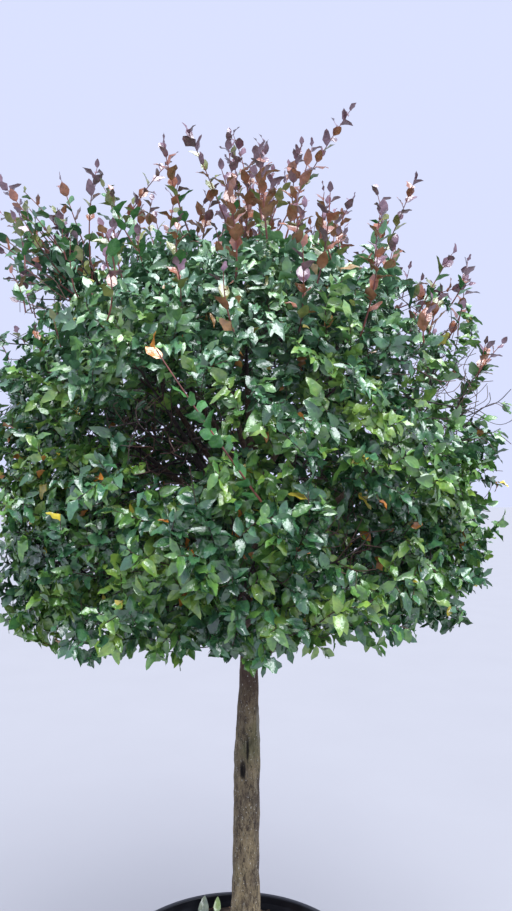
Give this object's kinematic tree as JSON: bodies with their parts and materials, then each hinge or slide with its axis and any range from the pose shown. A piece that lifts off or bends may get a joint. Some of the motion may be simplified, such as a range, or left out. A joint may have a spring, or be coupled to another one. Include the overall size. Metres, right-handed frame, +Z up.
{
  "type": "potted sasanqua camellia standard",
  "caption": "Evergreen camellia grown as a standard: one clear stem, a dense round head of small glossy leaves with long bronze young shoots, in a round nursery pot.",
  "frame": {"origin": "middle of the pot's flat underside, on the surface that the pot stands on", "axes": "+Z up along the trunk; -Y is the side that the picture shows, +X is to the right in it"},
  "size_m": [1.5747, 1.457, 3.0012],
  "materials": {
    "pot_plastic": "satin black moulded plastic, scuffed at the lip",
    "compost": "damp bark compost with fallen leaves",
    "bark": "smooth grey-brown bark with pale lichen",
    "foliage": "glossy dark green leaves",
    "young_foliage": "glossy green leaves with bronze young shoots"
  },
  "bodies": {
    "root": {"pot": "pot_plastic", "soil": "compost", "trunk": "bark", "leader": "bark", "bough_lower_1": "bark", "bough_lower_2": "bark", "bough_lower_3": "bark", "bough_lower_4": "bark", "bough_lower_5": "bark", "bough_lower_6": "bark", "bough_middle_1": "bark", "bough_middle_2": "bark", "bough_middle_3": "bark", "bough_middle_4": "bark", "bough_middle_5": "bark", "bough_middle_6": "bark", "bough_upper_1": "bark", "bough_upper_2": "bark", "bough_upper_3": "bark", "bough_upper_4": "bark", "bough_left_spray": "bark", "foliage_lower_1": "foliage", "foliage_lower_2": "foliage", "foliage_lower_3": "foliage", "foliage_lower_4": "foliage", "foliage_lower_5": "foliage", "foliage_lower_6": "foliage", "foliage_middle_1": "foliage", "foliage_middle_2": "foliage", "foliage_middle_3": "foliage", "foliage_middle_4": "foliage", "foliage_middle_5": "foliage", "foliage_middle_6": "foliage", "foliage_upper_1": "young_foliage", "foliage_upper_2": "young_foliage", "foliage_upper_3": "young_foliage", "foliage_upper_4": "young_foliage", "foliage_left_spray": "young_foliage", "foliage_crest": "young_foliage"}
  },
  "joints": []
}
